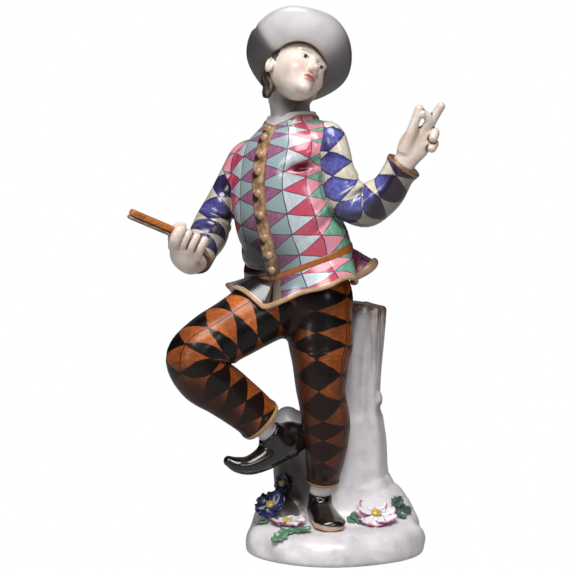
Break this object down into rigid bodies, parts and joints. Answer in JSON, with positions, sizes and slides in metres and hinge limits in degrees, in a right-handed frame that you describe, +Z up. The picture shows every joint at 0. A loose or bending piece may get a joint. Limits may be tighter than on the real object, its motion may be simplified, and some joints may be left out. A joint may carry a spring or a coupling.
{
  "type": "commedia dell arte figure",
  "caption": "Painted and glazed porcelain comedy figure in lozenge-patterned dress and wide hat, one leg raised, against a tree stump on a flowered mound base",
  "frame": {"origin": "the middle of the flat underside of the base, at table height", "axes": "+Z is up along the figure, -Y is the side that faces the viewer, and +X is the viewer's right"},
  "size_m": [0.0953, 0.0501, 0.1697],
  "materials": {
    "white_porcelain": "clear high-gloss glaze over a white body, with faint lilac-grey shading",
    "flesh_glaze": "pinkish ivory under a high-gloss glaze",
    "jacket_enamel": "glossy enamel lozenges in purple, blue-grey, pink and green",
    "sleeve_enamel": "glossy enamel lozenges in blue and cream",
    "trouser_enamel": "glossy enamel lozenges in black and orange",
    "gold_enamel": "glossy brown-gold enamel on the edges, band, belt and buttons",
    "shoe_enamel": "glossy black-brown enamel",
    "slapstick_enamel": "glossy orange-brown enamel",
    "flower_enamel": "glossy white, magenta, blue and yellow enamel",
    "leaf_enamel": "glossy green enamel"
  },
  "bodies": {
    "root": {"comedy_figure": "white_porcelain"}
  },
  "joints": []
}
